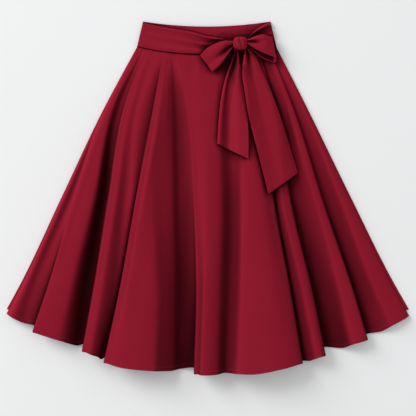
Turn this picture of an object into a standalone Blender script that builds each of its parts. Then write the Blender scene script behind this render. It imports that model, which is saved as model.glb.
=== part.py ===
"""Flared midi skirt laid flat, with a contoured waistband and a sash tied in a bow.

The skirt lies on its back: +X is the wearer's left, +Y runs to the waist and +Z is up
through the cloth. The origin is under the middle of the whole outline. Sizes are in
millimetres, and cloth_piece() turns them into metres.
"""

import math
from collections import namedtuple

import bmesh
import bpy
from mathutils import Vector
from mathutils.bvhtree import BVHTree

MM = 0.001
GAP = 0.3  # between pieces that touch
CLOTH = 1.5  # one layer of skirt cloth
BAND_WALL = 1.8  # waistband: two layers and their interfacing
SASH_WALL = 1.6  # sash: a turned tube, pressed flat
PANEL_LAID = CLOTH + GAP + CLOTH / 2  # middle of the front panel where it lies on the back
BAND_LAID = BAND_WALL + GAP + BAND_WALL / 2
SASH_LAID = BAND_LAID + BAND_WALL / 2 + GAP + SASH_WALL / 2

CRIMSON = (0.30, 0.012, 0.035, 1.0)
CRIMSON_DEEP = (0.24, 0.009, 0.028, 1.0)
CLOTH_ROUGHNESS = 0.72

# Waistband: an arc that dips at the middle, narrower at the top than at the seam
BAND_CENTRE_X = -3.0
BAND_TOP_HALF = 152.5
BAND_TOP_Y = 410.0
BAND_TOP_RISE = 12.5
SEAM_HALF = 167.0
SEAM_Y = 341.0
SEAM_RISE = 20.6
BAND_CROWN = 3.4  # how far the front stands off the back at the middle
BAND_COLUMNS = 28
BAND_ROWS = 4

# Levels at which the fold lines are placed between the waist seam and the hem
UPPER_Y = 211.0
MIDDLE_Y = -5.0
LOWER_Y = -221.0

# A line runs down a crown, a slope or the floor of a valley: its x at the seam, at the
# three levels and at the hem, the y where it ends, and its height at the upper and the
# middle level and at the hem.
Line = namedtuple("Line", "name seam upper middle lower hem hem_y upper_z middle_z hem_z")
# A roll is a line along a rounded edge that leans to the left (-1) or the right (+1)
# over its foot, whose heights follow. Below turn (0 at the seam, 1 at the hem) the foot
# is tucked under the edge, and the hem of the layer beneath is shorter by step.
Roll = namedtuple(
    "Roll", Line._fields + ("lean", "foot_upper_z", "foot_middle_z", "foot_z", "step", "turn")
)

FOLDS = [
    Line("side_left", -170, -250, -351, -452, -482, -277, PANEL_LAID, PANEL_LAID, PANEL_LAID),
    Line("side_roll_left", -168.5, -248, -346, -442, -470, -284, 7, 12, 15),
    Line("side_dip_left", -167, -246, -331, -418, -442, -298, 9, 12, 12),
    Roll("fold_1", -164, -238, -315, -383, -416, -318, 14, 23, 31, -1, 12, 20, 25, 13, 0.80),
    Line("back_1", -158, -226, -271, -325, -350, -340, 12.5, 21.5, 28),
    Line("valley_1", -155, -217, -254, -293, -311, -353, 8, 4.5, 4.5),
    Roll("fold_2", -150, -200, -236, -272, -298, -363, 19.5, 30, 40, -1, 14, 14, 12, 17, 0.75),
    Line("back_2", -139, -184, -218, -251, -277, -371, 20, 30.5, 41),
    Line("dip_2", -128, -172, -201, -228, -260, -378, 18, 24, 31),
    Line("ridge_2", -113, -158, -184, -218, -254, -383, 19, 27, 26),
    Roll("fold_3", -106, -130, -171, -210, -246, -389, 20, 31, 46, -1, 14, 25, 24, 15, 0.47),
    Line("crown_3", -98, -115, -152, -188, -206, -400, 20.5, 33, 52),
    Line("back_3", -94, -108, -134, -126, -130, -409, 18, 28.5, 47),
    Line("shelf_3", -92, -99, -112, -102, -108, -411, 14.5, 19.5, 31),
    Line("shoulder_3", -89, -88, -86, -83, -86, -412, 9, 11, 17),
    Line("valley_3", -86, -76, -69, -65, -66, -409, 3.5, 3.5, 3.5),
    Roll("fold_4", -72, -48, -33, -27, -33, -417, 17, 26, 39, -1, 16, 23, 21, 12, 0.85),
    Line("crown_4", -30, -12, -4, -9, -16, -419, 19, 30, 44),
    Line("back_4", 10, 20, 29, 25, 20, -419, 16, 24, 35),
    Line("valley_4", 36, 43, 51, 46, 39, -416, 10, 12, 22),
    Line("rise_5", 56, 60, 66, 62, 52, -416, 14, 17, 29),
    Line("fold_5", 66, 75, 80, 78, 70, -416, 18.5, 28, 45),
    Line("crown_5", 84, 94, 106, 112, 112, -416, 20, 31, 50),
    Line("back_5", 95, 108, 128, 158, 182, -403, 18, 28, 46),
    Roll("fold_6", 108, 128, 156, 196, 225, -393, 15, 20, 33, +1, 8, 8, 10, 5, 0.60),
    Line("lip_7", 112.5, 139, 166, 210, 241, -388, 12, 15, 20),
    Line("crest_7", 116, 148, 176, 225, 256, -382, 15, 20, 29),
    Roll("fold_7", 122, 163, 196, 248, 280, -375, 14, 18, 28, +1, 4.5, 5, 5, 17, 0.60),
    Line("rise_8", 130, 178, 229, 289, 323, -359, 5.5, 6, 7.5),
    Line("crest_8", 139, 190, 255, 314, 342, -350, 10, 15, 21),
    Roll("fold_8", 147, 204, 272, 346, 381, -338, 10.5, 15, 21, +1, 4.5, 4.5, 4.5, 10, 0.70),
    Line("valley_8", 153, 219, 300, 378, 416, -319, 4.5, 5, 6),
    Line("side_roll_right", 158, 230, 324, 410, 450, -300, 5, 7, 10),
    Line("side_right", 164, 238, 341, 447, 481, -282, PANEL_LAID, PANEL_LAID, PANEL_LAID),
]
PANEL_ROWS = 18
SOFT_COLUMNS = 2  # between two lines
ROLL_COLUMNS = 2  # between the foot, the edge and the crest of a roll

ROLL_AT_SEAM = 3.0  # from the edge of a roll to its crest, at the seam
ROLL_WIDTH = 10.0  # and from ROLL_FULL_AT down
ROLL_FULL_AT = 0.4
FOOT_APART = 0.4  # of the width, between an edge and a foot that isn't tucked under it
TUCK_RATE = 25.0  # how fast a foot moves under its edge down the skirt
TUCK_MOST = 9.0
EDGE_SOFT = 0.90  # height of the edge between foot and crest, before it leans over
EDGE_LEANING = 0.86  # and when it leans over
EDGE_DROOP = 0.75  # of that height, where an edge leans to the right
HEM_BEND = 0.00095  # slope of the hem for each millimetre from the middle

# Back panel: the same side seams, with its hem just inside the front's
BACK_HEM_Y = -402.0
BACK_HEM_RISE = 0.000587  # of the hem's parabola, per millimetre
BACK_COLUMNS = 24
BACK_ROWS = 6

# Sash, from the side seam to the knot: the ends of each section across it, and how
# deep its gathers are there
Section = namedtuple("Section", "upper_x upper_y lower_x lower_y gather")
SASH_LEFT = [
    Section(-155, 419, -169, 363, 0.0),
    Section(-116, 410, -121, 353, 0.3),
    Section(-68, 402, -69, 347, 0.8),
    Section(-32, 395, -32, 345, 1.6),
    Section(-8, 388, -8, 346, 2.4),
    Section(20, 383, 20, 350, 3.0),
    Section(42, 380, 42, 356, 3.2),
    Section(59, 377, 59, 361, 3.0),
]
SASH_RIGHT = [
    Section(149, 420, 161, 363, 0.6),
    Section(133, 414, 140, 360, 1.6),
    Section(112, 401, 113, 361, 2.6),
    Section(94.5, 381, 94.5, 364, 3.0),
]
GATHERS = 3
SASH_COLUMNS = 9
SASH_ROWS = 12

# Knot: a rounded block wrapped by the sash
KNOT_CENTRE = (76.8, 368.0)
KNOT_SIZE = (33.5, 31.0)
KNOT_BOTTOM = 8.4
KNOT_TOP = 29.0
KNOT_SQUARENESS = 3.2
KNOT_CUTS = 5
WRAP_DEPTH = 1.3  # of the grooves between the wraps
WRAP_SPACING = 12.0
WRAP_SLANT = math.radians(74)

# Loops, from the knot to the rounded end: the ends of each section of the front layer,
# the lower end of the back layer, and the heights of both layers
LoopSection = namedtuple(
    "LoopSection", "upper_x upper_y lower_x lower_y back_x back_y front_z back_z"
)
LOOP_LEFT = [
    LoopSection(58.8, 376, 59.0, 363, 59.0, 363, 20, 14),
    LoopSection(38, 376, 53, 354, 53, 355, 25, 14),
    LoopSection(16, 369, 41, 327, 40, 328, 26, 13.5),
    LoopSection(-2, 360, 28, 313, 27, 314, 23, 12.5),
    LoopSection(-15, 345, 14, 305, 13, 306, 19, 12),
]
LOOP_RIGHT = [
    LoopSection(94.4, 376, 94.8, 368, 94.6, 362, 21, 14),
    LoopSection(114, 384, 113, 354, 112, 348, 26, 13.5),
    LoopSection(132, 388, 135, 343, 131, 333, 27, 13),
    LoopSection(148, 384, 160, 334, 156, 323, 22, 12),
]
LOOP_COLUMNS = 9
LOOP_ROWS = 8
LOOP_TURN_ROWS = 4
LOOP_TROUGH = 5.0  # depth of the pleat that runs out of the knot
LOOP_TROUGH_AT = 0.58  # across the loop, from its upper edge
LOOP_TROUGH_WIDTH = 0.14
LOOP_TROUGH_FROM = 0.35  # how far along its fade the trough starts at the knot
LOOP_PUFF = 3.0  # how much the middle of the front layer stands up

# Tails, from the knot to the slanted end: both edges
TailSection = namedtuple("TailSection", "left_x left_y right_x right_y")
TAIL_SHORT = [
    TailSection(64.5, 351.8, 72.5, 351.6),
    TailSection(60.0, 335, 73.5, 330),
    TailSection(42.5, 287, 84.0, 279),
    TailSection(31.0, 234, 92.0, 222),
    TailSection(25.0, 174, 96.0, 150),
    TailSection(22.5, 129, 96.0, 92),
]
TAIL_LONG = [
    TailSection(85.8, 352.9, 95.5, 355.0),
    TailSection(85.0, 334, 113.5, 342),
    TailSection(81.5, 294, 130.0, 303),
    TailSection(87.5, 249, 149.0, 257),
    TailSection(98.0, 187, 166.0, 212),
    TailSection(123.0, 91, 182.0, 165),
    TailSection(143.5, 9, 215.0, 60),
]
TAIL_COLUMNS = 8
TAIL_ROWS = 20
TAIL_TOP_Z = 15.0
TAIL_PLEAT = 6.0  # depth of the pleat that runs out of the knot
TAIL_PLEAT_REACH = 0.35  # of the tail's length
DRAPE_CLEAR = 0.9  # over what a tail lies on
DRAPE_REACH = 5.0  # the cloth bridges anything narrower than this each way
DRAPE_PASSES = 30
ABOVE_ALL = 200.0


# --- curves -------------------------------------------------------------------------


def smooth_curve(knots, values, at):
    """The value at `at` of a smooth curve through the values at rising knots."""
    last = len(knots) - 2
    i = 0
    while i < last and at > knots[i + 1]:
        i += 1
    steps = [b - a for a, b in zip(knots, knots[1:])]
    slopes = [(b - a) / step for a, b, step in zip(values, values[1:], steps)]

    def tangent(k):
        if k == 0:
            return slopes[0]
        if k == len(knots) - 1:
            return slopes[-1]
        before, after = steps[k - 1], steps[k]
        return (slopes[k - 1] * after + slopes[k] * before) / (before + after)

    t = (at - knots[i]) / steps[i]
    return (
        values[i] * (1 + 2 * t) * (1 - t) ** 2
        + tangent(i) * steps[i] * t * (1 - t) ** 2
        + values[i + 1] * t * t * (3 - 2 * t)
        + tangent(i + 1) * steps[i] * t * t * (t - 1)
    )


def mix(a, b, t):
    return a + (b - a) * t


def section_at(sections, s):
    """The section at s, from 0 at the first to 1 at the last, smoothly between rows."""
    knots = [i / (len(sections) - 1) for i in range(len(sections))]
    kind = type(sections[0])
    return kind(*(smooth_curve(knots, column, s) for column in zip(*sections)))


# --- the skirt ----------------------------------------------------------------------


def seam_y(x):
    return SEAM_Y + SEAM_RISE * ((x - BAND_CENTRE_X) / SEAM_HALF) ** 2


def crown(x, half):
    """How far the front stands off the back at x."""
    return BAND_CROWN * max(0.0, 1 - ((x - BAND_CENTRE_X) / half) ** 2)


def fold_points(fold, v):
    """The points of a fold at v, from 0 at the seam to 1 at the hem, left to right."""
    top = seam_y(fold.seam) - GAP
    length = top - fold.hem_y
    levels = [0.0] + [(top - y) / length for y in (UPPER_Y, MIDDLE_Y, LOWER_Y)] + [1.0]
    x = smooth_curve(levels, fold[1:6], v)
    y = top - length * v
    seam_z = PANEL_LAID + crown(fold.seam, SEAM_HALF)

    def height(upper_z, middle_z, hem_z):
        knots = [levels[0], levels[1], levels[2], levels[4]]
        return smooth_curve(knots, (seam_z, upper_z, middle_z, hem_z), v)

    z = height(fold.upper_z, fold.middle_z, fold.hem_z)
    if isinstance(fold, Line):
        return [(x, y, z)]
    width = mix(ROLL_AT_SEAM, ROLL_WIDTH, min(1, v / ROLL_FULL_AT))
    apart = FOOT_APART * width
    tuck = min(max(TUCK_RATE * (v - fold.turn), -apart), TUCK_MOST)
    leaning = (tuck + apart) / (TUCK_MOST + apart)
    foot_z = height(fold.foot_upper_z, fold.foot_middle_z, fold.foot_z)
    share = mix(EDGE_SOFT, EDGE_LEANING, leaning)
    if fold.lean > 0:
        share *= EDGE_DROOP
    edge_z = mix(foot_z, z, share)
    hem_slope = HEM_BEND * x * v

    def beside(dx, dy, z):
        """A point dx beside the edge, on the seam's arc at the top."""
        arc = (seam_y(fold.seam + dx) - seam_y(fold.seam)) * (1 - v)
        return x + dx, y + arc + dy, z

    points = [
        beside(-fold.lean * tuck, fold.step * v, foot_z),
        (x, y, edge_z),
        beside(-fold.lean * width, -fold.lean * width * hem_slope, z),
    ]
    return points if fold.lean < 0 else points[::-1]


def across(points, columns):
    """Points on a smooth curve through points, with as many steps between each two
    as columns gives."""
    knots = [0.0]
    for a, b in zip(points, points[1:]):
        knots.append(knots[-1] + math.sqrt(math.dist(a, b)))
    axes = list(zip(*points))
    row = []
    for i, steps in enumerate(columns):
        for step in range(steps):
            at = mix(knots[i], knots[i + 1], step / steps)
            row.append([smooth_curve(knots, axis, at) for axis in axes])
    row.append(list(points[-1]))
    return row


def panel_columns():
    """How many steps there are between each two points of a row."""
    columns = []
    for fold in FOLDS:
        if fold is not FOLDS[0]:
            columns.append(SOFT_COLUMNS)
        if isinstance(fold, Roll):
            columns += [ROLL_COLUMNS, ROLL_COLUMNS]
    return columns


def front_panel_rows():
    columns = panel_columns()
    rows = []
    for i in range(PANEL_ROWS + 1):
        v = i / PANEL_ROWS
        points = [point for fold in FOLDS for point in fold_points(fold, v)]
        rows.append(across(points, columns))
    return rows


def back_panel_rows():
    left, right = FOLDS[0], FOLDS[-1]
    rows = []
    for i in range(BACK_ROWS + 1):
        v = i / BACK_ROWS
        left_x = fold_points(left, v)[0][0]
        right_x = fold_points(right, v)[0][0]
        row = []
        for j in range(BACK_COLUMNS + 1):
            u = j / BACK_COLUMNS
            x = mix(left_x, right_x, u)
            seam = seam_y(mix(left.seam, right.seam, u)) - GAP
            hem = BACK_HEM_Y + BACK_HEM_RISE * mix(left.hem, right.hem, u) ** 2
            row.append((x, mix(seam, hem, v), CLOTH / 2))
        rows.append(row)
    return rows


# --- the waistband and the sash -----------------------------------------------------


def band_rows(z, crowned):
    rows = []
    for i in range(BAND_ROWS + 1):
        v = i / BAND_ROWS
        half = mix(BAND_TOP_HALF, SEAM_HALF, v)
        row = []
        for j in range(BAND_COLUMNS + 1):
            u = 2 * j / BAND_COLUMNS - 1
            x = BAND_CENTRE_X + half * u
            y = mix(BAND_TOP_Y + BAND_TOP_RISE * u * u, SEAM_Y + SEAM_RISE * u * u, v)
            row.append((x, y, z + (crown(x, half) if crowned else 0)))
        rows.append(row)
    return rows


def sash_rows(sections):
    """A tie over the band, from the side seam to the knot, with gathers along it."""
    rows = []
    for i in range(SASH_ROWS + 1):
        here = section_at(sections, i / SASH_ROWS)
        row = []
        for j in range(SASH_COLUMNS + 1):
            t = j / SASH_COLUMNS
            x = mix(here.upper_x, here.lower_x, t)
            y = mix(here.upper_y, here.lower_y, t)
            ridge = (1 - math.cos(2 * math.pi * GATHERS * t)) / 2
            row.append((x, y, SASH_LAID + crown(x, SEAM_HALF) + here.gather * ridge))
        rows.append(row)
    return rows


# --- the bow ------------------------------------------------------------------------


def loop_rows(sections):
    """A loop from the knot out over its front layer, round its end and back below."""
    rows = []
    outer, inner = sections[-1], sections[-2]
    out = Vector((
        outer.upper_x + outer.lower_x - inner.upper_x - inner.lower_x,
        outer.upper_y + outer.lower_y - inner.upper_y - inner.lower_y,
    )).normalized()
    ts = [j / LOOP_COLUMNS for j in range(LOOP_COLUMNS + 1)]

    def front_point(s, t):
        here = section_at(sections, s)
        puff = LOOP_PUFF * math.sin(math.pi * t) * math.sin(math.pi * s)
        away = (t - LOOP_TROUGH_AT) / LOOP_TROUGH_WIDTH
        fade = math.sin(math.pi * min(1, s + LOOP_TROUGH_FROM)) * (1 - s)
        trough = LOOP_TROUGH * math.exp(-away ** 2) * fade
        x = mix(here.upper_x, here.lower_x, t)
        y = mix(here.upper_y, here.lower_y, t)
        return x, y, here.front_z + puff - trough

    def back_point(s, t):
        here = section_at(sections, s)
        return mix(here.upper_x, here.back_x, t), mix(here.upper_y, here.back_y, t), here.back_z

    for i in range(LOOP_ROWS + 1):
        rows.append([front_point(i / LOOP_ROWS, t) for t in ts])
    for i in range(1, LOOP_TURN_ROWS):
        angle = math.pi * i / LOOP_TURN_ROWS
        row = []
        for t in ts:
            front, back = Vector(front_point(1, t)), Vector(back_point(1, t))
            reach = (front.z - back.z) / 2 * math.sin(angle)
            turned = front.lerp(back, (1 - math.cos(angle)) / 2)
            row.append((turned.x + out.x * reach, turned.y + out.y * reach, turned.z))
        rows.append(row)
    for i in range(LOOP_ROWS, -1, -1):
        rows.append([back_point(i / LOOP_ROWS, t) for t in ts])
    return rows


def height_over(trees, x, y):
    """The height of what lies under x and y, or 0."""
    heights = [0.0]
    for tree in trees:
        hit = tree.ray_cast(Vector((x, y, ABOVE_ALL)) * MM, Vector((0, 0, -1)))[0]
        if hit:
            heights.append(hit.z / MM)
    return max(heights)


def tail_rows(sections, trees):
    """A tail that hangs from the knot and is draped over the solids in trees."""
    steps = (-DRAPE_REACH, 0, DRAPE_REACH)
    around = [(dx, dy) for dx in steps for dy in steps]
    places = []
    floor = []
    for i in range(TAIL_ROWS + 1):
        s = i / TAIL_ROWS
        here = section_at(sections, s)
        place = []
        low = []
        for j in range(TAIL_COLUMNS + 1):
            t = j / TAIL_COLUMNS
            x = mix(here.left_x, here.right_x, t)
            y = mix(here.left_y, here.right_y, t)
            under = max(height_over(trees, x + dx, y + dy) for dx, dy in around)
            place.append((x, y))
            low.append(under + DRAPE_CLEAR + SASH_WALL / 2)
        places.append(place)
        floor.append(low)
    floor[0] = [max(TAIL_TOP_Z, low) for low in floor[0]]
    heights = [list(low) for low in floor]
    for _ in range(DRAPE_PASSES):
        for i in range(1, TAIL_ROWS + 1):
            for j in range(TAIL_COLUMNS + 1):
                near = [heights[i - 1][j], heights[min(i + 1, TAIL_ROWS)][j]]
                near += [heights[i][max(j - 1, 0)], heights[i][min(j + 1, TAIL_COLUMNS)]]
                heights[i][j] = max(floor[i][j], sum(near) / len(near))
    rows = []
    for i, (place, height) in enumerate(zip(places, heights)):
        fade = max(0.0, 1 - i / TAIL_ROWS / TAIL_PLEAT_REACH)
        row = []
        for j, ((x, y), z) in enumerate(zip(place, height)):
            sides = 1 - math.sin(math.pi * j / TAIL_COLUMNS)
            row.append((x, y, z + TAIL_PLEAT * fade * sides))
        rows.append(row)
    return rows


# --- objects ------------------------------------------------------------------------


def cloth_material(name, colour):
    material = bpy.data.materials.new(name)
    material.use_nodes = True
    shader = material.node_tree.nodes["Principled BSDF"]
    shader.inputs["Base Color"].default_value = colour
    shader.inputs["Roughness"].default_value = CLOTH_ROUGHNESS
    shader.inputs["Metallic"].default_value = 0.0
    return material


def new_object(name, form, colour):
    mesh = bpy.data.meshes.new(name)
    form.to_mesh(mesh)
    form.free()
    mesh.shade_smooth()
    made = bpy.data.objects.new(name, mesh)
    bpy.context.scene.collection.objects.link(made)
    mesh.materials.append(cloth_material(name, colour))
    return made


def cloth_piece(name, rows, wall, colour=CRIMSON):
    """A wall of cloth whose middle runs through rows of points, its face up."""
    columns = len(rows[0]) - 1
    form = bmesh.new()
    bmesh.ops.create_grid(form, x_segments=columns, y_segments=len(rows) - 1, size=1)
    for vert in form.verts:
        column = round((vert.co.x + 1) / 2 * columns)
        row = round((1 - vert.co.y) / 2 * (len(rows) - 1))
        vert.co = Vector(rows[row][column]) * MM
    made = new_object(name, form, colour)
    solidify = made.modifiers.new("wall", "SOLIDIFY")
    solidify.thickness = wall * MM
    solidify.offset = 0
    return made


def knot():
    """A rounded block with soft grooves between the wraps of the sash."""
    form = bmesh.new()
    bmesh.ops.create_cube(form, size=2)
    bmesh.ops.subdivide_edges(form, edges=form.edges[:], cuts=KNOT_CUTS, use_grid_fill=True)
    height = KNOT_TOP - KNOT_BOTTOM
    for vert in form.verts:
        spread = sum(abs(c) ** KNOT_SQUARENESS for c in vert.co) ** (1 / KNOT_SQUARENESS)
        x, y, z = vert.co / spread
        x *= KNOT_SIZE[0] / 2
        y *= KNOT_SIZE[1] / 2
        along = x * math.sin(WRAP_SLANT) + y * math.cos(WRAP_SLANT)
        groove = WRAP_DEPTH * max(0, z) * math.cos(math.pi * along / WRAP_SPACING) ** 4
        vert.co = Vector((
            KNOT_CENTRE[0] + x,
            KNOT_CENTRE[1] + y,
            KNOT_BOTTOM + height * (z + 1) / 2 - groove,
        )) * MM
    return new_object("bow_knot", form, CRIMSON_DEEP)


def evaluated_tree(piece):
    depsgraph = bpy.context.evaluated_depsgraph_get()
    return BVHTree.FromObject(piece, depsgraph)


def main():
    for old in list(bpy.data.objects):
        bpy.data.objects.remove(old)
    cloth_piece("back_panel", back_panel_rows(), CLOTH)
    front = cloth_piece("front_panel", front_panel_rows(), CLOTH)
    cloth_piece("waistband_back", band_rows(BAND_WALL / 2, False), BAND_WALL)
    band = cloth_piece("waistband_front", band_rows(BAND_LAID, True), BAND_WALL)
    cloth_piece("sash_left", sash_rows(SASH_LEFT), SASH_WALL, CRIMSON_DEEP)
    cloth_piece("sash_right", sash_rows(SASH_RIGHT), SASH_WALL, CRIMSON_DEEP)
    knot()
    cloth_piece("bow_loop_left", loop_rows(LOOP_LEFT), SASH_WALL)
    cloth_piece("bow_loop_right", loop_rows(LOOP_RIGHT), SASH_WALL)
    below = [evaluated_tree(front), evaluated_tree(band)]
    short = cloth_piece("tail_short", tail_rows(TAIL_SHORT, below), SASH_WALL)
    below.append(evaluated_tree(short))
    cloth_piece("tail_long", tail_rows(TAIL_LONG, below), SASH_WALL)


main()
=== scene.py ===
"""Looks of a crimson flared midi skirt laid flat: cloth shells, creases, stitches and crepe.

The skirt lies on its back: +X is the wearer's left, +Y runs to the waist and +Z is up
through the cloth. Sizes are in millimetres, and cloth_piece() turns them into metres.
"""

import math
from collections import namedtuple

import bmesh
import bpy
import numpy as np
from mathutils import Matrix, Vector
from mathutils.bvhtree import BVHTree


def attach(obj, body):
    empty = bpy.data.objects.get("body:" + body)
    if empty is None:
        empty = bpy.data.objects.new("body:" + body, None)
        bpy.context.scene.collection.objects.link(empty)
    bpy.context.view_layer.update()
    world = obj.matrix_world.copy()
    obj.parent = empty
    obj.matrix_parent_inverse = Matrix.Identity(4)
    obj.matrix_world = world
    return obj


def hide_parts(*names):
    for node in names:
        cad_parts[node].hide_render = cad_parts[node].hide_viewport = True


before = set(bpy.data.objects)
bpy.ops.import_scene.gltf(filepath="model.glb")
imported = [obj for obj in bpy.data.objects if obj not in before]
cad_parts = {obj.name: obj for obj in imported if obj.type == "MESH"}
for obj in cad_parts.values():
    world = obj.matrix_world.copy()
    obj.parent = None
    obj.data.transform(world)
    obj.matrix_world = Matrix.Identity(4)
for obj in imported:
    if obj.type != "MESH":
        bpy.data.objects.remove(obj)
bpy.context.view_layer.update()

MM = 0.001
GAP = 0.3  # between two layers
CLOTH = 1.5  # thickness of the panels' walls
BAND_WALL = 1.8
SASH_WALL = 1.6
ABOVE_ALL = 200.0
# Heights of the middle of a wall that lies on the layer below
PANEL_LAID = CLOTH + GAP + CLOTH / 2
BAND_LAID = BAND_WALL + GAP + BAND_WALL / 2
SASH_LAID = BAND_LAID + BAND_WALL / 2 + GAP + SASH_WALL / 2

# Waistband: an arc that dips at the middle, narrower at the top than at the seam
BAND_CENTRE_X = -3.0
BAND_TOP_HALF = 152.5
BAND_TOP_Y = 410.0
BAND_TOP_RISE = 12.5
SEAM_HALF = 167.0
SEAM_Y = 341.0
SEAM_RISE = 20.6
BAND_CROWN = 3.4
BAND_COLUMNS = 96
BAND_ROWS = 20

# Levels at which the fold lines are placed between the waist seam and the hem
UPPER_Y = 211.0
MIDDLE_Y = -5.0
LOWER_Y = -221.0

# A line runs down a crown, a slope or the floor of a valley: its x at the seam, at the
# three levels and at the hem, the y where it ends, and its height at the upper and the
# middle level and at the hem.
Line = namedtuple("Line", "name seam upper middle lower hem hem_y upper_z middle_z hem_z")
# A roll is a line along a rounded edge that leans to the left (-1) or the right (+1)
# over its foot, whose heights follow. Below turn (0 at the seam, 1 at the hem) the foot
# is tucked under the edge, and the hem of the layer beneath is shorter by step.
Roll = namedtuple(
    "Roll", Line._fields + ("lean", "foot_upper_z", "foot_middle_z", "foot_z", "step", "turn")
)

FOLDS = [
    Line("side_left", -170, -250, -351, -452, -482, -277, PANEL_LAID, PANEL_LAID, PANEL_LAID),
    Line("side_roll_left", -168.5, -248, -346, -442, -470, -284, 7, 12, 15),
    Line("side_dip_left", -167, -246, -331, -418, -442, -298, 9, 12, 12),
    Roll("fold_1", -164, -238, -315, -383, -416, -318, 14, 23, 31, -1, 12, 20, 25, 13, 0.80),
    Line("back_1", -158, -226, -271, -325, -350, -340, 12.5, 21.5, 28),
    Line("valley_1", -155, -217, -254, -293, -311, -353, 8, 4.5, 4.5),
    Roll("fold_2", -150, -200, -236, -272, -298, -363, 19.5, 30, 40, -1, 14, 14, 12, 17, 0.75),
    Line("back_2", -139, -184, -218, -251, -277, -371, 20, 30.5, 41),
    Line("dip_2", -128, -172, -201, -228, -260, -378, 18, 24, 31),
    Line("ridge_2", -113, -158, -184, -218, -254, -383, 19, 27, 26),
    Roll("fold_3", -106, -130, -171, -210, -246, -389, 20, 31, 46, -1, 14, 25, 24, 15, 0.47),
    Line("crown_3", -98, -115, -152, -188, -206, -400, 20.5, 33, 52),
    Line("back_3", -94, -108, -134, -126, -130, -409, 18, 28.5, 47),
    Line("shelf_3", -92, -99, -112, -102, -108, -411, 14.5, 19.5, 31),
    Line("shoulder_3", -89, -88, -86, -83, -86, -412, 9, 11, 17),
    Line("valley_3", -86, -76, -69, -65, -66, -409, 3.5, 3.5, 3.5),
    Roll("fold_4", -72, -48, -33, -27, -33, -417, 17, 26, 39, -1, 16, 23, 21, 12, 0.85),
    Line("crown_4", -30, -12, -4, -9, -16, -419, 19, 30, 44),
    Line("back_4", 10, 20, 29, 25, 20, -419, 16, 24, 35),
    Line("valley_4", 36, 43, 51, 46, 39, -416, 10, 12, 22),
    Line("rise_5", 56, 60, 66, 62, 52, -416, 14, 17, 29),
    Line("fold_5", 66, 75, 80, 78, 70, -416, 18.5, 28, 45),
    Line("crown_5", 84, 94, 106, 112, 112, -416, 20, 31, 50),
    Line("back_5", 95, 108, 128, 158, 182, -403, 18, 28, 46),
    Roll("fold_6", 108, 128, 156, 196, 225, -393, 15, 20, 33, +1, 8, 8, 10, 5, 0.60),
    Line("lip_7", 112.5, 139, 166, 210, 241, -388, 12, 15, 20),
    Line("crest_7", 116, 148, 176, 225, 256, -382, 15, 20, 29),
    Roll("fold_7", 122, 163, 196, 248, 280, -375, 14, 18, 28, +1, 4.5, 5, 5, 17, 0.60),
    Line("rise_8", 130, 178, 229, 289, 323, -359, 5.5, 4.5, 4.5),
    Line("crest_8", 139, 190, 255, 314, 342, -350, 10, 15, 21),
    Roll("fold_8", 147, 204, 272, 346, 381, -338, 10.5, 15, 21, +1, 4.5, 4.5, 4.5, 10, 0.70),
    Line("valley_8", 153, 219, 300, 378, 416, -319, 4.5, 4, 4),
    Line("side_crest_right", 158, 230, 318, 402, 440, -305, 6.5, 11, 12),
    Line("side_roll_right", 161.5, 234.5, 335.5, 440.5, 474, -287, 5.5, 7.5, 8),
    Line("side_right", 164, 238, 341, 447, 481, -282, PANEL_LAID, PANEL_LAID, PANEL_LAID),
]
SOFT_COLUMNS = 7  # between two lines
ROLL_COLUMNS = 4  # between the foot, the edge and the crest of a roll

ROLL_AT_SEAM = 3.0  # from the edge of a roll to its crest, at the seam
ROLL_WIDTH = 10.0  # and from ROLL_FULL_AT down
ROLL_FULL_AT = 0.4
FOOT_APART = 0.4  # of the width, between an edge and a foot that isn't tucked under it
TUCK_RATE = 25.0  # how fast a foot moves under its edge down the skirt
TUCK_MOST = 9.0
EDGE_SOFT = 0.90  # height of the edge between foot and crest, before it leans over
EDGE_LEANING = 0.86  # and when it leans over
EDGE_DROOP = 0.75  # of that height, where an edge leans to the right
HEM_BEND = 0.00095  # slope of the hem for each millimetre from the middle

# Rows down the skirt: fine ones at the seam and the hem
SEAM_REACH = 24.0
SEAM_ROWS = 8
SKIRT_ROWS = 84
HEM_REACH = 18.0
HEM_ROWS = 12
SKIRT_LENGTH = 740.0  # from the seam to the hem, about

# Back panel: its hem lies just inside the front's
BACK_HEM_Y = -402.0
BACK_HEM_RISE = 0.000587  # of the hem's parabola, for each millimetre
BACK_COLUMNS = 96

# Soft creases in the front panel: both ends of each, half its width, and how far it
# stands up (or sinks, if negative)
Crease = namedtuple("Crease", "x0 y0 x1 y1 width height")
FRONT_CREASES = [
    Crease(-112, 336, -118, 250, 5, 0.8),
    Crease(-96, 334, -100, 290, 4, -0.9),
    Crease(-40, 330, -38, 262, 9, -1.2),
    Crease(-22, 330, -24, 284, 7, 0.8),
    Crease(6, 332, 12, 276, 8, -0.9),
    Crease(28, 334, 33, 256, 7, 0.8),
    Crease(118, 336, 132, 262, 5, -0.9),
    Crease(-140, 344, -176, 262, 5, 0.7),
    Crease(-365, -150, -420, -300, 13, -2.4),
    Crease(-300, -160, -345, -300, 14, 1.0),
    Crease(-150, -120, -176, -330, 16, -1.2),
    Crease(-120, -60, -140, -250, 12, 0.9),
    Crease(-8, 20, -16, -260, 12, -0.8),
    Crease(98, -40, 92, -300, 16, -1.2),
    Crease(140, -90, 164, -330, 14, 1.0),
    Crease(236, -120, 262, -250, 8, -0.7),
    Crease(300, -120, 345, -270, 12, -1.1),
    Crease(352, -120, 412, -255, 14, 1.0),
    Crease(-49, 70, -57, -330, 11, -4.0),
    Crease(212, -10, 296, -250, 12, -1.6),
]

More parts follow.
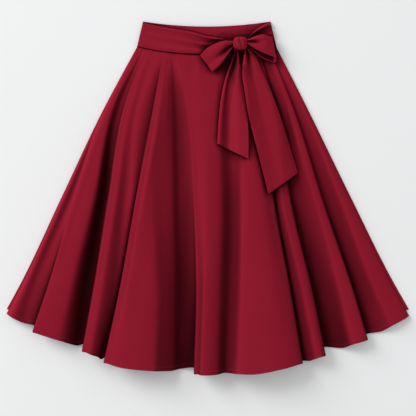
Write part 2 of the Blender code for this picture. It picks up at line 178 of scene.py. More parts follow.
# Sash, from the side seam to the knot: the ends of each section across it
Section = namedtuple("Section", "upper_x upper_y lower_x lower_y")
SASH_LEFT = [
    Section(-155, 419, -169, 363),
    Section(-116, 410, -121, 353),
    Section(-68, 402, -69, 347),
    Section(-32, 395, -32, 345),
    Section(-8, 388, -8, 346),
    Section(20, 383, 20, 350),
    Section(42, 380, 42, 356),
    Section(61, 377, 61, 361),
]
SASH_RIGHT = [
    Section(149, 420, 161, 363),
    Section(133, 414, 140, 360),
    Section(112, 401, 113, 361),
    Section(93, 381, 93, 364),
]
# A pleat runs along a piece from t at its start to t at its end (0 at one edge, 1 at
# the other), with half its width as a share of the piece's, and its height at both ends
Pleat = namedtuple("Pleat", "t0 t1 width height0 height1")
PLEATS_SASH_LEFT = [
    Pleat(0.05, 0.10, 0.07, 0.4, 3.8),
    Pleat(0.30, 0.28, 0.08, -0.2, -1.8),
    Pleat(0.42, 0.50, 0.10, 0.3, 3.6),
    Pleat(0.62, 0.70, 0.07, -0.2, -1.6),
    Pleat(0.86, 0.88, 0.10, 1.2, 3.0),
]
PLEATS_SASH_RIGHT = [
    Pleat(0.06, 0.14, 0.07, 3.0, 5.0),
    Pleat(0.24, 0.34, 0.06, -1.6, -2.0),
    Pleat(0.44, 0.56, 0.12, 2.8, 4.6),
    Pleat(0.74, 0.80, 0.08, -1.4, -2.0),
    Pleat(0.92, 0.94, 0.08, 0.8, 1.6),
]
SASH_COLUMNS = 36
SASH_ROWS = 60
SASH_LIFT = 0.4  # over the band, between its pleats

# Knot: a rounded block with grooves where the sash wraps round it, and shade painted in them
KNOT_CENTRE = (76.8, 368.0)
KNOT_SIZE = (33.5, 31.0)
KNOT_BOTTOM = 8.4
KNOT_TOP = 29.0
KNOT_SQUARENESS = 3.2
KNOT_CUTS = 31
WRAP_DEPTH = 1.3  # of the grooves between the wraps
WRAP_SPACING = 12.0
WRAP_SLANT = math.radians(74)
WRAP_SHARPNESS = 4  # the higher, the narrower the grooves
PAINTED_WRAP_SHADE = 0.24  # how far the grooves are closed to the light

# Loops, from the knot to the rounded end: the ends of each section of the front layer,
# the lower end of the back layer, and the heights of both layers
LoopSection = namedtuple(
    "LoopSection", "upper_x upper_y lower_x lower_y back_x back_y front_z back_z"
)
LOOP_LEFT = [
    LoopSection(61, 373, 61, 361, 61, 361, 20, 14),
    LoopSection(38, 373, 52, 349, 52, 350, 25, 14),
    LoopSection(16, 365.5, 39.5, 330, 39, 331, 26, 13.5),
    LoopSection(-2, 356, 27, 314.5, 26, 315.5, 23, 12.5),
    LoopSection(-16, 343, 13.5, 303, 12.5, 304, 19, 12),
]
LOOP_RIGHT = [
    LoopSection(92.5, 376, 92.5, 368, 92.5, 362, 21, 14),
    LoopSection(114, 384, 113, 354, 112, 348, 26, 13.5),
    LoopSection(132, 388, 135, 343, 131, 333, 27, 13),
    LoopSection(148, 384, 160, 334, 156, 323, 22, 12),
]
PLEATS_LOOP_LEFT = [
    Pleat(0.22, 0.20, 0.16, 2.0, 0.6),
    Pleat(0.74, 0.62, 0.14, -13.0, -1.5),
    Pleat(0.99, 0.92, 0.07, 1.5, 1.0),
]
PLEATS_LOOP_RIGHT = [
    Pleat(0.16, 0.18, 0.10, 2.0, 0.3),
    Pleat(0.46, 0.40, 0.13, -8.5, 0.0),
    Pleat(0.80, 0.84, 0.10, 2.2, 0.2),
]
LOOP_COLUMNS = 36
LOOP_ROWS = 36
LOOP_TURN_ROWS = 10
LOOP_PUFF = 3.0  # how much the middle of the front layer stands up
LOOP_PLEAT_REACH = 0.75  # of the loop's length
# Shade painted on the back layer of each loop
PAINTED_LOOP_SHADE = 0.5  # how open the back layer is
PAINTED_LOOP_SHADE_TO = 0.94  # across the loop, from its upper edge

# Tails, from the knot to the slanted end: both edges
TailSection = namedtuple("TailSection", "left_x left_y right_x right_y")
TAIL_SHORT = [
    TailSection(64.5, 355.0, 72.5, 354.0),
    TailSection(60.0, 335, 73.5, 330),
    TailSection(42.5, 287, 84.0, 279),
    TailSection(31.0, 234, 92.0, 222),
    TailSection(25.0, 174, 96.0, 150),
    TailSection(22.5, 129, 96.0, 92),
]
TAIL_LONG = [
    TailSection(88.5, 354.0, 96.5, 356.0),
    TailSection(85.0, 334, 113.5, 342),
    TailSection(81.5, 294, 130.0, 303),
    TailSection(87.5, 249, 149.0, 257),
    TailSection(98.0, 187, 166.0, 212),
    TailSection(123.0, 91, 182.0, 165),
    TailSection(143.5, 9, 215.0, 60),
]
PLEATS_SHORT = [
    Pleat(0.00, -0.01, 0.04, -2.0, -4.5),
    Pleat(0.10, 0.06, 0.08, 3.0, 2.0),
    Pleat(0.48, 0.24, 0.17, -8.0, -4.5),
    Pleat(0.92, 0.66, 0.14, 2.6, 1.2),
]
PLEATS_LONG = [
    Pleat(0.14, 0.10, 0.12, 2.4, 0.8),
    Pleat(0.40, 0.42, 0.10, -5.5, -0.9),
    Pleat(0.64, 0.72, 0.14, 2.2, 0.5),
    Pleat(1.00, 1.01, 0.08, -3.5, -3.5),
]
TAIL_COLUMNS = 28
TAIL_ROWS = 72
TAIL_TOP_Z = 15.0
TAIL_PLEAT_REACH = 0.45  # of the tail's length
TAIL_LIFT = 0.8  # of its deepest pleat's depth
TAIL_DROOP = 4.0  # how much lower the cloth past its edges would lie
DRAPE_CLEAR = 0.5  # over what a tail lies on
DRAPE_REACH = 5.0  # the cloth bridges anything narrower than this each way
DRAPE_PASSES = 60

# Stitches of the hem
STITCH_LENGTH = 2.6
STITCH_PITCH = 3.4
STITCH_RADIUS = 0.28
STITCH_OUT = 0.4  # of its radius, from the face of the cloth to a stitch's middle
HEM_STITCH_AT = 9.5  # above the hem
RIM_PART = 3  # the rounding of a piece's rim is the wall divided by this

# Colours, as a mix of red, green and blue light from 0 to 1
CRIMSON = (0.225, 0.0068, 0.0195, 1.0)
CRIMSON_PALE = (0.261, 0.0097, 0.0260, 1.0)
# Painted shade: the colour of the darkest hollows
PAINTED_SHADE_CRIMSON = (0.022, 0.0003, 0.0012, 1.0)
THREAD = (0.250, 0.012, 0.030, 1.0)
PAPER = (0.84, 0.84, 0.84, 1.0)
PAPER_DIM = (0.74, 0.74, 0.75, 1.0)
SHEEN_TINT = (0.95, 0.25, 0.30, 1.0)

# Scales of the patterns in the cloth, the thread and the surface
DRIFT_SCALE = 9.0
SLUB_SCALE = 260.0
GRAIN_SCALE = 1500.0
WEAVE_SCALE = 520.0
TWIST_SCALE = 2400.0
PAPER_SCALE = 3.0

# How open a hollow is where its painted shade is darkest, and where none is painted, as on a
# flat
PAINTED_SHADE_FULL_AT = 0.46
PAINTED_SHADE_NONE_AT = 0.90
PAINTED_SHADE_FALL = 1.6  # above 1, half open hollows are darker too
# Shade painted along sewn edges
PAINTED_EDGE_SHADE = 0.74  # how open a sewn edge is that turns away from the light
PAINTED_EDGE_SHADE_COLUMNS = 4  # over which the skirt's right edge gets there
SKIRT_REACH = 120.0  # how far away a fold still hides some of the sky
TIE_REACH = 20.0  # and a pleat of the sash and the bow
# Sky over a point that lies near another piece, for the shade painted there: rings of
# directions, and how far away a piece still hides some of it
SKY_RINGS = ((15, 10), (38, 8), (62, 6), (90, 1))  # degrees up, and how many
SKY_REACH = 38.0

# The stage, in metres and watts
CAMERA_PLACE = (0, -0.024, 2.77)
CAMERA_LENS = 100
CAMERA_SENSOR = 36
KEY_PLACE = (-7.8, 5.8, 4.4)
KEY_SIZE = 5.8
KEY_POWER = 1050
SKY_COLOUR = (0.98, 0.99, 1.0, 1.0)
SKY_STRENGTH = 0.66
FLOOR_HALF = 6
FLOOR_DROP = 0.0003  # below the cloth


# --- curves -------------------------------------------------------------------------


def smooth_curve(knots, values, at):
    """The value at `at` of a smooth curve through the values at rising knots."""
    last = len(knots) - 2
    i = 0
    while i < last and at > knots[i + 1]:
        i += 1
    steps = [b - a for a, b in zip(knots, knots[1:])]
    slopes = [(b - a) / step for a, b, step in zip(values, values[1:], steps)]

    def tangent(k):
        if k == 0:
            return slopes[0]
        if k == len(knots) - 1:
            return slopes[-1]
        before, after = steps[k - 1], steps[k]
        return (slopes[k - 1] * after + slopes[k] * before) / (before + after)

    t = (at - knots[i]) / steps[i]
    return (
        values[i] * (1 + 2 * t) * (1 - t) ** 2
        + tangent(i) * steps[i] * t * (1 - t) ** 2
        + values[i + 1] * t * t * (3 - 2 * t)
        + tangent(i + 1) * steps[i] * t * t * (t - 1)
    )


def mix(a, b, t):
    return a + (b - a) * t


def section_at(sections, s):
    """The section at s, from 0 at the first to 1 at the last, smoothly between rows."""
    knots = [i / (len(sections) - 1) for i in range(len(sections))]
    kind = type(sections[0])
    return kind(*(smooth_curve(knots, column, s) for column in zip(*sections)))


def pleats_at(pleats, s, t):
    """The height that the pleats of a piece add at s along it and t across it."""
    total = 0.0
    for pleat in pleats:
        away = (t - mix(pleat.t0, pleat.t1, s)) / pleat.width
        total += mix(pleat.height0, pleat.height1, s) * math.exp(-away * away)
    return total


# --- the skirt ----------------------------------------------------------------------


def seam_y(x):
    return SEAM_Y + SEAM_RISE * ((x - BAND_CENTRE_X) / SEAM_HALF) ** 2


def crown(x, half):
    """How far the front stands off the back at x."""
    return BAND_CROWN * max(0.0, 1 - ((x - BAND_CENTRE_X) / half) ** 2)


def fold_points(fold, v):
    """The points of a fold at v, from 0 at the seam to 1 at the hem, left to right."""
    top = seam_y(fold.seam) - GAP
    length = top - fold.hem_y
    levels = [0.0] + [(top - y) / length for y in (UPPER_Y, MIDDLE_Y, LOWER_Y)] + [1.0]
    x = smooth_curve(levels, fold[1:6], v)
    y = top - length * v
    seam_z = PANEL_LAID + crown(fold.seam, SEAM_HALF)

    def height(upper_z, middle_z, hem_z):
        knots = [levels[0], levels[1], levels[2], levels[4]]
        return smooth_curve(knots, (seam_z, upper_z, middle_z, hem_z), v)

    z = height(fold.upper_z, fold.middle_z, fold.hem_z)
    if isinstance(fold, Line):
        return [(x, y, z)]
    width = mix(ROLL_AT_SEAM, ROLL_WIDTH, min(1, v / ROLL_FULL_AT))
    apart = FOOT_APART * width
    tuck = min(max(TUCK_RATE * (v - fold.turn), -apart), TUCK_MOST)
    leaning = (tuck + apart) / (TUCK_MOST + apart)
    foot_z = height(fold.foot_upper_z, fold.foot_middle_z, fold.foot_z)
    share = mix(EDGE_SOFT, EDGE_LEANING, leaning)
    if fold.lean > 0:
        share *= EDGE_DROOP
    edge_z = mix(foot_z, z, share)
    hem_slope = HEM_BEND * x * v

    def beside(dx, dy, z):
        """A point dx beside the edge, on the seam's arc at the top."""
        arc = (seam_y(fold.seam + dx) - seam_y(fold.seam)) * (1 - v)
        return x + dx, y + arc + dy, z

    points = [
        beside(-fold.lean * tuck, fold.step * v, foot_z),
        (x, y, edge_z),
        beside(-fold.lean * width, -fold.lean * width * hem_slope, z),
    ]
    return points if fold.lean < 0 else points[::-1]


def across(points, columns):
    """Points on a smooth curve through points, with as many steps between each two
    as columns gives."""
    knots = [0.0]
    for a, b in zip(points, points[1:]):
        knots.append(knots[-1] + math.sqrt(math.dist(a, b)))
    axes = list(zip(*points))
    row = []
    for i, steps in enumerate(columns):
        for step in range(steps):
            at = mix(knots[i], knots[i + 1], step / steps)
            row.append([smooth_curve(knots, axis, at) for axis in axes])
    row.append(list(points[-1]))
    return row


def panel_columns():
    """How many steps there are between each two points of a row."""
    columns = []
    for fold in FOLDS:
        if fold is not FOLDS[0]:
            columns.append(SOFT_COLUMNS)
        if isinstance(fold, Roll):
            columns += [ROLL_COLUMNS, ROLL_COLUMNS]
    return columns


def skirt_levels():
    """The places of the rows, from 0 at the seam to 1 at the hem."""
    seam, hem = SEAM_REACH / SKIRT_LENGTH, 1 - HEM_REACH / SKIRT_LENGTH
    levels = [seam * i / SEAM_ROWS for i in range(SEAM_ROWS)]
    levels += [mix(seam, hem, i / SKIRT_ROWS) for i in range(SKIRT_ROWS)]
    levels += [mix(hem, 1, i / HEM_ROWS) for i in range(HEM_ROWS + 1)]
    return levels


def crease_height(crease, x, y):
    """What a crease adds at x and y: full in its middle, nothing at its ends."""
    run = Vector((crease.x1 - crease.x0, crease.y1 - crease.y0))
    offset = Vector((x - crease.x0, y - crease.y0))
    along = offset.dot(run) / run.length_squared
    if not 0 < along < 1:
        return 0.0
    away = (offset - run * along).length / crease.width
    return crease.height * math.exp(-away * away) * math.sin(math.pi * along)


def front_panel_rows():
    columns = panel_columns()
    rows = []
    for v in skirt_levels():
        points = [point for fold in FOLDS for point in fold_points(fold, v)]
        row = across(points, columns)
        for point in row:
            x, y, _ = point
            point[2] += sum(crease_height(crease, x, y) for crease in FRONT_CREASES)
        rows.append(row)
    return rows


def back_panel_rows():
    left, right = FOLDS[0], FOLDS[-1]
    rows = []
    for v in skirt_levels():
        left_x, left_y, _ = fold_points(left, v)[0]
        right_x, right_y, _ = fold_points(right, v)[0]
        row = []
        for j in range(BACK_COLUMNS + 1):
            u = j / BACK_COLUMNS
            seam = seam_y(mix(left.seam, right.seam, u)) - GAP
            hem = BACK_HEM_Y + BACK_HEM_RISE * mix(left.hem, right.hem, u) ** 2
            row.append((mix(left_x, right_x, u), mix(seam, hem, v), CLOTH / 2))
        rows.append(row)
    return rows


def openness(rows, reach):
    """The share of the sky over it, across its row, that each point sees past what
    stands within reach."""
    grid = np.array(rows)
    heading = grid[:, -1, :2] - grid[:, 0, :2]
    heading /= np.linalg.norm(heading, axis=1)[:, None]
    along = (grid[:, :, :2] * heading[:, None]).sum(axis=2)
    z = grid[:, :, 2]
    tilt = np.arctan2(np.gradient(z, axis=1), np.gradient(along, axis=1))
    after, before = tilt, -tilt
    for step in range(1, z.shape[1]):
        run = along[:, step:] - along[:, :-step]
        rise = z[:, step:] - z[:, :-step]
        near = np.hypot(run, rise) < reach
        if not near.any():
            break
        up = np.where(near, np.arctan2(rise, run), -np.pi)
        down = np.where(near, np.arctan2(-rise, run), -np.pi)
        after = np.hstack([np.maximum(after[:, :-step], up), after[:, -step:]])
        before = np.hstack([before[:, :step], np.maximum(before[:, step:], down)])
    return np.clip(1 - (after + before) / np.pi, 0, 1)


def cut_places(rows):
    """Where each point of a flared panel lies in the flat cut, a sector of a ring."""
    grid = np.array(rows)
    runs = np.linalg.norm(np.diff(grid, axis=1), axis=2)
    arc = np.concatenate([np.zeros((len(rows), 1)), np.cumsum(runs, axis=1)], axis=1)
    spread = (arc[-1, -1] - arc[0, -1]) / SKIRT_LENGTH
    inner = arc[0, -1] / spread
    share = arc / arc[:, -1:] - 0.5
    radius = inner + np.array(skirt_levels())[:, None] * SKIRT_LENGTH
    return np.dstack([radius * np.sin(spread * share), -radius * np.cos(spread * share)])


# --- the waistband and the sash -----------------------------------------------------


def band_rows(z, crowned):
    rows = []
    for i in range(BAND_ROWS + 1):
        v = i / BAND_ROWS
        half = mix(BAND_TOP_HALF, SEAM_HALF, v)
        row = []
        for j in range(BAND_COLUMNS + 1):
            u = 2 * j / BAND_COLUMNS - 1
            x = BAND_CENTRE_X + half * u
            y = mix(BAND_TOP_Y + BAND_TOP_RISE * u * u, SEAM_Y + SEAM_RISE * u * u, v)
            row.append((x, y, z + (crown(x, half) if crowned else 0)))
        rows.append(row)
    return rows


def sash_rows(sections, pleats):
    """A tie over the band, from the side seam to the knot, with its gathers along it."""
    rows = []
    for i in range(SASH_ROWS + 1):
        s = i / SASH_ROWS
        here = section_at(sections, s)
        row = []
        for j in range(SASH_COLUMNS + 1):
            t = j / SASH_COLUMNS
            x = mix(here.upper_x, here.lower_x, t)
            y = mix(here.upper_y, here.lower_y, t)
            lift = max(0.0, SASH_LIFT + pleats_at(pleats, s, t))
            row.append((x, y, SASH_LAID + crown(x, SEAM_HALF) + lift))
        rows.append(row)
    return rows


# --- the bow ------------------------------------------------------------------------


def loop_rows(sections, pleats):
    """A loop from the knot out over its front layer, round its end and back below."""
    rows = []
    outer, inner = sections[-1], sections[-2]
    out = Vector((
        outer.upper_x + outer.lower_x - inner.upper_x - inner.lower_x,
        outer.upper_y + outer.lower_y - inner.upper_y - inner.lower_y,
    )).normalized()
    ts = [j / LOOP_COLUMNS for j in range(LOOP_COLUMNS + 1)]

    def front_point(s, t):
        here = section_at(sections, s)
        puff = LOOP_PUFF * math.sin(math.pi * t) * math.sin(math.pi * s)
        x = mix(here.upper_x, here.lower_x, t)
        y = mix(here.upper_y, here.lower_y, t)
        low = here.back_z + SASH_WALL + GAP
        lift = pleats_at(pleats, min(1.0, s / LOOP_PLEAT_REACH), t)
        return x, y, max(low, here.front_z + puff + lift)

    def back_point(s, t):
        here = section_at(sections, s)
        x = mix(here.upper_x, here.back_x, t)
        y = mix(here.upper_y, here.back_y, t)
        return x, y, here.back_z

    for i in range(LOOP_ROWS + 1):
        rows.append([front_point(i / LOOP_ROWS, t) for t in ts])
    for i in range(1, LOOP_TURN_ROWS):
        angle = math.pi * i / LOOP_TURN_ROWS
        row = []
        for t in ts:
            front, back = Vector(front_point(1, t)), Vector(back_point(1, t))
            reach = (front.z - back.z) / 2 * math.sin(angle)
            turned = front.lerp(back, (1 - math.cos(angle)) / 2)
            row.append((turned.x + out.x * reach, turned.y + out.y * reach, turned.z))
        rows.append(row)
    for i in range(LOOP_ROWS, -1, -1):
        rows.append([back_point(i / LOOP_ROWS, t) for t in ts])
    return rows


def loop_painted_shade(rows):
    """How open a loop is, which sets its painted shade: shade is painted on its back layer,
    which lies under its front one, save for the lower edge."""
    shares = openness(rows, TIE_REACH)
    ts = np.linspace(0, 1, LOOP_COLUMNS + 1)
    edge = np.clip((ts - PAINTED_LOOP_SHADE_TO) / (1 - PAINTED_LOOP_SHADE_TO), 0, 1)
    shares[LOOP_ROWS + LOOP_TURN_ROWS:] *= PAINTED_LOOP_SHADE + (1 - PAINTED_LOOP_SHADE) * edge
    return shares


def height_over(trees, x, y):
    """The height of what lies under x and y, or 0."""
    heights = [0.0]
    for tree in trees:
        hit = tree.ray_cast(Vector((x, y, ABOVE_ALL)) * MM, Vector((0, 0, -1)))[0]
        if hit:
            heights.append(hit.z / MM)
    return max(heights)


def tail_rows(sections, pleats, trees):
    """A tail that hangs from the knot and is draped over the pieces in trees."""
    steps = (-DRAPE_REACH, 0, DRAPE_REACH)
    around = [(dx, dy) for dx in steps for dy in steps]
    places = []
    lowest = []
    for i in range(TAIL_ROWS + 1):
        here = section_at(sections, i / TAIL_ROWS)
        place = []
        low = []
        for j in range(TAIL_COLUMNS + 1):
            t = j / TAIL_COLUMNS
            x = mix(here.left_x, here.right_x, t)
            y = mix(here.left_y, here.right_y, t)
            under = max(height_over(trees, x + dx, y + dy) for dx, dy in around)
            place.append((x, y))
            low.append(under + DRAPE_CLEAR + SASH_WALL / 2)
        places.append(place)
        lowest.append(low)
    lowest = np.array(lowest)
    lowest[0] = np.maximum(TAIL_TOP_Z, lowest[0])
    heights = lowest.copy()
    for _ in range(DRAPE_PASSES):
        padded = np.pad(heights, 1, mode="edge")
        padded[:, [0, -1]] -= TAIL_DROOP
        near = padded[:-2, 1:-1] + padded[2:, 1:-1] + padded[1:-1, :-2] + padded[1:-1, 2:]
        heights[1:] = np.maximum(lowest[1:], near[1:] / 4)
    rows = []
    for i, (place, height) in enumerate(zip(places, heights)):
        s = i / TAIL_ROWS
        along = min(1.0, s / TAIL_PLEAT_REACH)
        deepest = -min(mix(pleat.height0, pleat.height1, along) for pleat in pleats)
        row = []
        for j, ((x, y), z) in enumerate(zip(place, height)):
            lift = pleats_at(pleats, along, j / TAIL_COLUMNS)
            row.append((x, y, float(z) + deepest * TAIL_LIFT + lift))
        rows.append(row)
    return rows


# --- materials ----------------------------------------------------------------------


class Reading:
    """A socket of a material. Sums on it add Math nodes to that material."""

    def __init__(self, recipe, socket):
        self.recipe = recipe
        self.socket = socket

    def math(self, operation, *terms):
        sockets = dict(enumerate(terms))
        return self.recipe.node("ShaderNodeMath", {"operation": operation}, sockets)

    def __add__(self, other):
        return self.math("ADD", self, other)

    def __sub__(self, other):
        return self.math("SUBTRACT", self, other)

    def __mul__(self, other):
        return self.math("MULTIPLY", self, other)

    def __pow__(self, other):
        return self.math("POWER", self, other)


class Recipe:
    """A material and its nodes."""

    def __init__(self, name):
        self.material = bpy.data.materials.new(name)
        self.material.use_nodes = True
        self.tree = self.material.node_tree
        self.shader = self.tree.nodes["Principled BSDF"]

    def node(self, kind, settings=None, sockets=None, output=0):
        """Adds a node, with its settings first and then its sockets' values or links."""
        made = self.tree.nodes.new(kind)
        for key, value in (settings or {}).items():
            setattr(made, key, value)
        self.fill(made, sockets or {})
        return Reading(self, made.outputs[output])

    def fill(self, made, sockets):
        for key, value in sockets.items():
            if isinstance(value, Reading):
                self.tree.links.new(value.socket, made.inputs[key])
            else:
                made.inputs[key].default_value = value

    def blend(self, share, first, second):
        """A colour between two others."""
        settings = {"data_type": "RGBA", "clamp_factor": True}
        return self.node("ShaderNodeMix", settings, {0: share, 6: first, 7: second}, output=2)

    def noise(self, place, scale, detail):
        sockets = {"Vector": place, "Scale": scale, "Detail": detail}
        return self.node("ShaderNodeTexNoise", None, sockets)


def crepe():
    """Crepe suiting: a fine uneven weave, small changes of tone, and painted shade in hollows.
    """
    recipe = Recipe("crepe")
    cut = recipe.node("ShaderNodeUVMap", {"uv_map": "cut"})
    painted_shade_openness = recipe.node("ShaderNodeAttribute", {"attribute_name": "open"}, output=2)

    drift = recipe.noise(cut, DRIFT_SCALE, 3.0)
    slub = recipe.noise(cut, SLUB_SCALE, 4.0)
    grain = recipe.noise(cut, GRAIN_SCALE, 2.0)
    threads = {
        "Vector": cut,
        "Scale": WEAVE_SCALE,
        "Distortion": 1.6,
        "Detail": 2.0,
        "Detail Scale": 1.5,
    }
    warp = recipe.node("ShaderNodeTexWave", {"bands_direction": "X"}, threads, output=1)
    weft = recipe.node("ShaderNodeTexWave", {"bands_direction": "Y"}, threads, output=1)

    # Half of the tone is the slow drift, and half of the relief the weave
    tone = drift * 0.5 + slub * 0.3 + grain * 0.2
    lit = recipe.blend(tone, CRIMSON, CRIMSON_PALE)
    # Painted shade: darker towards a deep crimson where the form leaves less of the sky open
    unshaded_share = (painted_shade_openness - PAINTED_SHADE_FULL_AT) * (1 / (PAINTED_SHADE_NONE_AT - PAINTED_SHADE_FULL_AT))
    colour = recipe.blend(unshaded_share ** PAINTED_SHADE_FALL, PAINTED_SHADE_CRIMSON, lit)
    height = warp * weft * 0.5 + grain * 0.35 + slub * 0.35
    bump = recipe.node(
        "ShaderNodeBump", None, {"Strength": 0.35, "Distance": 0.00012, "Height": height}
    )
    recipe.fill(recipe.shader, {
        "Base Color": colour,
        "Roughness": slub * 0.12 + 0.68,
        "Normal": bump,
        "Sheen Weight": 0.05,
        "Sheen Roughness": 0.45,
        "Sheen Tint": SHEEN_TINT,
        "Specular IOR Level": 0.03,
    })
    return recipe.material


def thread():
    """Sewing thread: a shade duller than the cloth, with its twist across it."""
    recipe = Recipe("thread")
    place = recipe.node("ShaderNodeTexCoord", output=3)
    twist = recipe.noise(place, TWIST_SCALE, 2.0)
    colour = recipe.blend(twist, THREAD, CRIMSON_PALE)
    recipe.fill(recipe.shader, {"Base Color": colour, "Roughness": twist * 0.2 + 0.45})
    return recipe.material


def paper():
    """The pale matte surface under the skirt."""
    recipe = Recipe("paper")
    place = recipe.node("ShaderNodeTexCoord", output=3)
    grain = recipe.noise(place, PAPER_SCALE, 4.0)
    colour = recipe.blend(grain * 0.08, PAPER, PAPER_DIM)
    recipe.fill(recipe.shader, {"Base Color": colour, "Roughness": 0.9})
    return recipe.material


# --- pieces -------------------------------------------------------------------------


def object_from(form, name, material):
    mesh = bpy.data.meshes.new(name)
    form.to_mesh(mesh)
    form.free()
    mesh.shade_smooth()
    mesh.materials.append(material)
    made = bpy.data.objects.new(name, mesh)
    bpy.context.scene.collection.objects.link(made)
    return made


def flat_places(rows):
    """Lengths along and across a strip, for its weave."""
    grid = np.array(rows)
    across_runs = np.linalg.norm(np.diff(grid, axis=1), axis=2)
    along_runs = np.linalg.norm(np.diff(grid, axis=0), axis=2)
    x = np.concatenate([np.zeros((grid.shape[0], 1)), np.cumsum(across_runs, axis=1)], axis=1)
    y = np.concatenate([np.zeros((1, grid.shape[1])), np.cumsum(along_runs, axis=0)], axis=0)
    return np.dstack([x - x[:, -1:] / 2, -y])


def cloth_piece(name, rows, wall, material, places=None, painted_shade_openness=None):
    """A wall of cloth whose middle runs through rows of points, its face up.

    places is where each point lies in the flat cut, and painted_shade_openness how open it is."""
    columns, count = len(rows[0]) - 1, len(rows) - 1
    places = flat_places(rows) if places is None else places
    form = bmesh.new()
    bmesh.ops.create_grid(form, x_segments=columns, y_segments=count, size=1)
    # The share of the sky each point sees, by which shade is painted into its colour
    shade = form.verts.layers.float.new("open")
    cut = form.loops.layers.uv.new("cut")
    index = {}
    for vert in form.verts:
        column = round((vert.co.x + 1) / 2 * columns)
        row = round((1 - vert.co.y) / 2 * count)
        index[vert] = (row, column)
        vert[shade] = 1.0 if painted_shade_openness is None else float(painted_shade_openness[row][column])
        vert.co = Vector(rows[row][column]) * MM
    for face in form.faces:
        for loop in face.loops:
            row, column = index[loop.vert]
            loop[cut].uv = Vector(places[row][column]) * MM
    made = object_from(form, name, material)
    solidify = made.modifiers.new("wall", "SOLIDIFY")
    solidify.thickness = wall * MM
    solidify.offset = 0
    rim = made.modifiers.new("rim", "BEVEL")
    rim.width = wall * MM / RIM_PART
    rim.segments = 2
    rim.limit_method = "ANGLE"
    rim.angle_limit = math.radians(60)
    return made


def stands_for(piece, node):
    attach(piece, "root")
    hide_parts(node)


def evaluated_tree(piece):
    depsgraph = bpy.context.evaluated_depsgraph_get()
    return BVHTree.FromObject(piece, depsgraph)


def sky_directions():
    """Directions spread over the sky."""
    directions = []
    for height, count in SKY_RINGS:
        up = math.radians(height)
        for i in range(count):
            around = 2 * math.pi * (i + up) / count
            level = math.cos(up)
            x, y = level * math.cos(around), level * math.sin(around)
            directions.append(Vector((x, y, math.sin(up))))
    return directions


def paint_shade_under(piece, covers):
    """Paints shade on a piece where covers lie over it or close beside it."""
    trees = [evaluated_tree(cover) for cover in covers]
    corners = [Vector(corner) for cover in covers for corner in cover.bound_box]
    reach = SKY_REACH * MM
    low_x = min(corner.x for corner in corners) - reach
    high_x = max(corner.x for corner in corners) + reach
    low_y = min(corner.y for corner in corners) - reach
    high_y = max(corner.y for corner in corners) + reach
    directions = sky_directions()
    for vert, entry in zip(piece.data.vertices, piece.data.attributes["open"].data):
        x, y, _ = vert.co
        if not (low_x < x < high_x and low_y < y < high_y):
            continue
        hidden = sum(
            any(tree.ray_cast(vert.co, direction, reach)[0] for tree in trees)
            for direction in directions
        )
        entry.value *= 1 - hidden / len(directions)


def knot(material):
    """A rounded block with soft grooves between the wraps of the sash, shade painted in them.
    """
    form = bmesh.new()
    bmesh.ops.create_cube(form, size=2)
    bmesh.ops.subdivide_edges(form, edges=form.edges[:], cuts=KNOT_CUTS, use_grid_fill=True)
    shade = form.verts.layers.float.new("open")
    cut = form.loops.layers.uv.new("cut")
    height = KNOT_TOP - KNOT_BOTTOM
    for vert in form.verts:
        spread = sum(abs(c) ** KNOT_SQUARENESS for c in vert.co) ** (1 / KNOT_SQUARENESS)
        x, y, z = vert.co / spread
        x *= KNOT_SIZE[0] / 2
        y *= KNOT_SIZE[1] / 2
        along = x * math.sin(WRAP_SLANT) + y * math.cos(WRAP_SLANT)
        depth = math.cos(math.pi * along / WRAP_SPACING) ** WRAP_SHARPNESS * max(0, z)
        # Painted shade in the grooves
        vert[shade] = 1 - PAINTED_WRAP_SHADE * depth
        vert.co = Vector((
            KNOT_CENTRE[0] + x,
            KNOT_CENTRE[1] + y,
            KNOT_BOTTOM + height * (z + 1) / 2 - WRAP_DEPTH * depth,
        )) * MM
    for face in form.faces:
        for loop in face.loops:
            loop[cut].uv = loop.vert.co.xy
    return object_from(form, "knot", material)


def stitch_line(name, places, material):
    """Stitches in a row along places, a list of (point, direction, outward)."""
    form = bmesh.new()
    for point, direction, outward in places:
        side = outward.cross(direction).normalized()
        turn = Matrix((direction, side, outward)).transposed().to_4x4()
        half = Vector((STITCH_LENGTH / 2, STITCH_RADIUS, STITCH_RADIUS)) * MM
        here = Matrix.Translation(point * MM) @ turn @ Matrix.Diagonal((*half, 1))
        bmesh.ops.create_icosphere(form, subdivisions=1, radius=1, matrix=here)
    return object_from(form, name, material)


def places_along(points, outwards):
    """(point, direction, outward) for each stitch along a line of points."""
    places = []
    travelled = 0.0
    due = STITCH_PITCH / 2
    for i in range(len(points) - 1):
        run = points[i + 1] - points[i]
        while due <= travelled + run.length:
            t = (due - travelled) / run.length
            places.append((points[i] + run * t, run.normalized(), outwards[i]))
            due += STITCH_PITCH
        travelled += run.length
    return places


def hem_stitches(rows, material):
    """One row of stitches above the hem, on the front panel's outer face."""
    down = SKIRT_LENGTH - HEM_STITCH_AT
    at = next(i for i, v in enumerate(skirt_levels()) if v * SKIRT_LENGTH >= down)
    points = [Vector(p) for p in rows[at]]
    below = [Vector(p) for p in rows[at + 1]]
    lifted = []
    outwards = []
    for i, point in enumerate(points):
        run = points[min(i + 1, len(points) - 1)] - points[max(i - 1, 0)]
        outward = (below[i] - point).cross(run).normalized()
        outwards.append(outward)
        lifted.append(point + outward * (CLOTH / 2 + STITCH_RADIUS * STITCH_OUT))
    return stitch_line("hem_stitches", places_along(lifted, outwards), material)


# --- the stage ----------------------------------------------------------------------


def floor(material):
    form = bmesh.new()
    bmesh.ops.create_grid(form, x_segments=1, y_segments=1, size=FLOOR_HALF)
    bmesh.ops.translate(form, verts=form.verts[:], vec=(0, 0, -FLOOR_DROP))
    object_from(form, "floor", material)


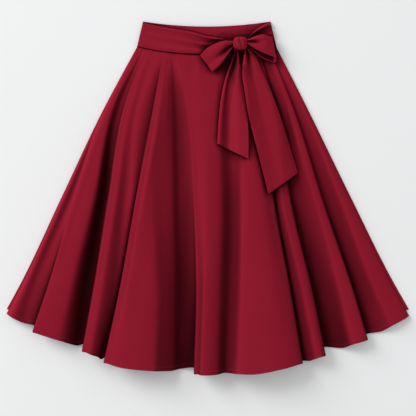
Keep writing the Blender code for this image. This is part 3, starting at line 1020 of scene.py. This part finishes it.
def key_light():
    """A large soft light, turned to the middle of the skirt."""
    light = bpy.data.lights.new("key", "AREA")
    light.size = KEY_SIZE
    light.energy = KEY_POWER
    made = bpy.data.objects.new("key", light)
    made.location = KEY_PLACE
    made.rotation_euler = (-Vector(KEY_PLACE)).to_track_quat("-Z", "Y").to_euler()
    bpy.context.scene.collection.objects.link(made)


def camera():
    """It looks straight down, as an unturned camera does."""
    lens = bpy.data.cameras.new("camera")
    lens.lens = CAMERA_LENS
    lens.sensor_width = CAMERA_SENSOR
    made = bpy.data.objects.new("camera", lens)
    made.location = CAMERA_PLACE
    bpy.context.scene.collection.objects.link(made)
    bpy.context.scene.camera = made


def sky():
    world = bpy.data.worlds.new("studio")
    world.use_nodes = True
    background = world.node_tree.nodes["Background"]
    background.inputs["Color"].default_value = SKY_COLOUR
    background.inputs["Strength"].default_value = SKY_STRENGTH
    bpy.context.scene.world = world


# --- making it ----------------------------------------------------------------------

camera()
sky()
key_light()
floor(paper())
bpy.context.scene.view_settings.view_transform = "Standard"

cloth = crepe()
sewing = thread()

front_rows = front_panel_rows()
front_painted_shade = openness(front_rows, SKIRT_REACH)
# Shade painted along the skirt's right edge
front_painted_shade[:, -PAINTED_EDGE_SHADE_COLUMNS:] *= np.linspace(1.0, PAINTED_EDGE_SHADE, PAINTED_EDGE_SHADE_COLUMNS)
front = cloth_piece(
    "skirt_front", front_rows, CLOTH, cloth, cut_places(front_rows), front_painted_shade
)
stands_for(front, "front_panel")

back_rows = back_panel_rows()
back = cloth_piece("skirt_back", back_rows, CLOTH, cloth, cut_places(back_rows))
stands_for(back, "back_panel")

band_back = cloth_piece("band_back", band_rows(BAND_WALL / 2, False), BAND_WALL, cloth)
stands_for(band_back, "waistband_back")

band_painted_shade = np.ones((BAND_ROWS + 1, BAND_COLUMNS + 1))
# Shade painted along the band's top and bottom edges
band_painted_shade[[0, -1]] = PAINTED_EDGE_SHADE
band_front = cloth_piece(
    "band_front", band_rows(BAND_LAID, True), BAND_WALL, cloth, painted_shade_openness=band_painted_shade
)
stands_for(band_front, "waistband_front")

tie_rows = sash_rows(SASH_LEFT, PLEATS_SASH_LEFT)
sash_left = cloth_piece(
    "tie_left", tie_rows, SASH_WALL, cloth, painted_shade_openness=openness(tie_rows, TIE_REACH)
)
stands_for(sash_left, "sash_left")
wraps = knot(cloth)
stands_for(wraps, "bow_knot")

tie_rows = sash_rows(SASH_RIGHT, PLEATS_SASH_RIGHT)
sash_right = cloth_piece(
    "tie_right", tie_rows, SASH_WALL, cloth, painted_shade_openness=openness(tie_rows, TIE_REACH)
)
stands_for(sash_right, "sash_right")

bow_rows = loop_rows(LOOP_LEFT, PLEATS_LOOP_LEFT)
loop_left = cloth_piece(
    "loop_left", bow_rows, SASH_WALL, cloth, painted_shade_openness=loop_painted_shade(bow_rows)
)
stands_for(loop_left, "bow_loop_left")

bow_rows = loop_rows(LOOP_RIGHT, PLEATS_LOOP_RIGHT)
loop_right = cloth_piece(
    "loop_right", bow_rows, SASH_WALL, cloth, painted_shade_openness=loop_painted_shade(bow_rows)
)
stands_for(loop_right, "bow_loop_right")

under = [evaluated_tree(front), evaluated_tree(band_front)]
short_rows = tail_rows(TAIL_SHORT, PLEATS_SHORT, under)
tail_short = cloth_piece(
    "short_tail", short_rows, SASH_WALL, cloth, painted_shade_openness=openness(short_rows, TIE_REACH)
)
stands_for(tail_short, "tail_short")

under.append(evaluated_tree(tail_short))
long_rows = tail_rows(TAIL_LONG, PLEATS_LONG, under)
tail_long = cloth_piece(
    "long_tail", long_rows, SASH_WALL, cloth, painted_shade_openness=openness(long_rows, TIE_REACH)
)
stands_for(tail_long, "tail_long")

# Shade painted on pieces where others lie over them or close beside them
paint_shade_under(front, [tail_short, tail_long, loop_left, loop_right, wraps])
paint_shade_under(band_front, [sash_left, sash_right, loop_left, loop_right, wraps])
paint_shade_under(sash_left, [loop_left, wraps])
paint_shade_under(sash_right, [loop_right, wraps])
paint_shade_under(tail_short, [tail_long, loop_left, wraps])
paint_shade_under(tail_long, [loop_right, wraps])

stitches = hem_stitches(front_rows, sewing)
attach(stitches, "root")
